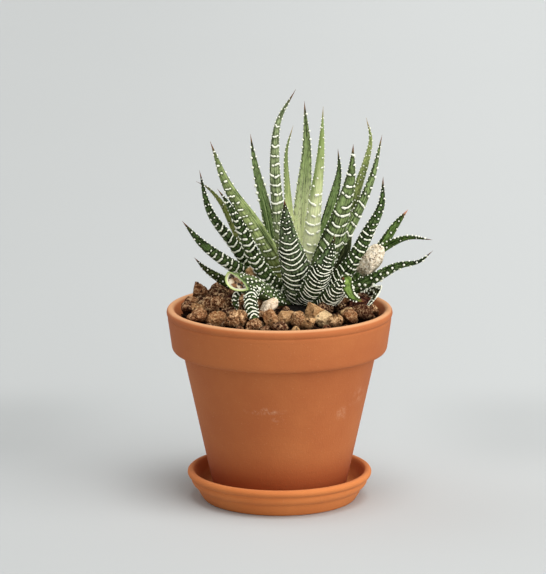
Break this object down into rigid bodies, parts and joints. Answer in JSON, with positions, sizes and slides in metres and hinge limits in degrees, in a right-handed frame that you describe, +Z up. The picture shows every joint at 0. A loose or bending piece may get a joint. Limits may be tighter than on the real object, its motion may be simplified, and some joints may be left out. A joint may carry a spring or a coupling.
{
  "type": "potted haworthia",
  "caption": "Zebra haworthia with banded, pointed succulent leaves in a tapered terracotta pot with a thick collar, on a lipped saucer, topped with lava gravel.",
  "frame": {"origin": "centre of the saucer's flat underside, on the axis of the pot", "axes": "+Z up along the axis of the pot, +X to the right seen from the front, -Y towards the front, the side with the broad banded leaf"},
  "size_m": [0.118, 0.1, 0.184],
  "materials": {
    "terracotta_saucer": "matte unglazed fired clay",
    "terracotta_pot": "matte unglazed fired clay",
    "soil": "loose, damp and dark",
    "stem": "matte",
    "lava_brown": "rough, pitted",
    "lava_tan": "rough, pitted",
    "lava_red": "rough, pitted",
    "pumice": "rough, pitted",
    "leaf_pale": "waxy satin with white pearls",
    "leaf_mid_green": "waxy satin with white pearls",
    "leaf_dark_green": "waxy satin with white bands and pearls"
  },
  "bodies": {
    "root": {"saucer": "terracotta_saucer", "pot": "terracotta_pot", "stem": "stem", "leaf_front_broad": "leaf_dark_green", "leaf_front_right": "leaf_dark_green", "leaf_left_banded": "leaf_dark_green", "leaf_right_banded": "leaf_dark_green", "leaf_right_pearled": "leaf_dark_green", "leaf_low_front": "leaf_dark_green", "leaf_arched_front": "leaf_mid_green", "offset_left": "leaf_dark_green", "offset_right": "leaf_dark_green", "leaf_left_low": "leaf_dark_green", "leaf_left_curved": "leaf_dark_green", "leaf_left_smooth": "leaf_mid_green", "leaf_tall": "leaf_dark_green", "leaf_right_upright": "leaf_dark_green", "leaf_centre_pale": "leaf_pale", "leaf_right_dark": "leaf_dark_green", "leaf_centre_back": "leaf_mid_green", "leaf_right_smooth": "leaf_mid_green", "leaf_right_thin": "leaf_pale", "leaf_centre_thin": "leaf_pale", "leaf_back_left_dark": "leaf_dark_green", "leaf_left_dry_tip": "leaf_pale", "leaf_back_left_low": "leaf_dark_green", "leaf_back": "leaf_dark_green", "leaf_back_left": "leaf_dark_green", "leaf_back_right": "leaf_dark_green", "leaf_back_low": "leaf_dark_green", "leaf_back_spread": "leaf_dark_green", "pebble_pumice_right": "pumice", "pebble_cream_front": "pumice", "pebble_brown_caught": "lava_tan", "pebble_tan_front": "lava_tan", "pebble_tan_front_right": "lava_tan", "pebble_tan_right": "lava_tan", "pebble_tan_left": "lava_tan", "pebble_tan_left_front": "lava_tan", "pebble_red_left": "lava_red", "pebble_red_right": "lava_red", "gravel_brown": "lava_brown", "soil": "soil"}
  },
  "joints": []
}
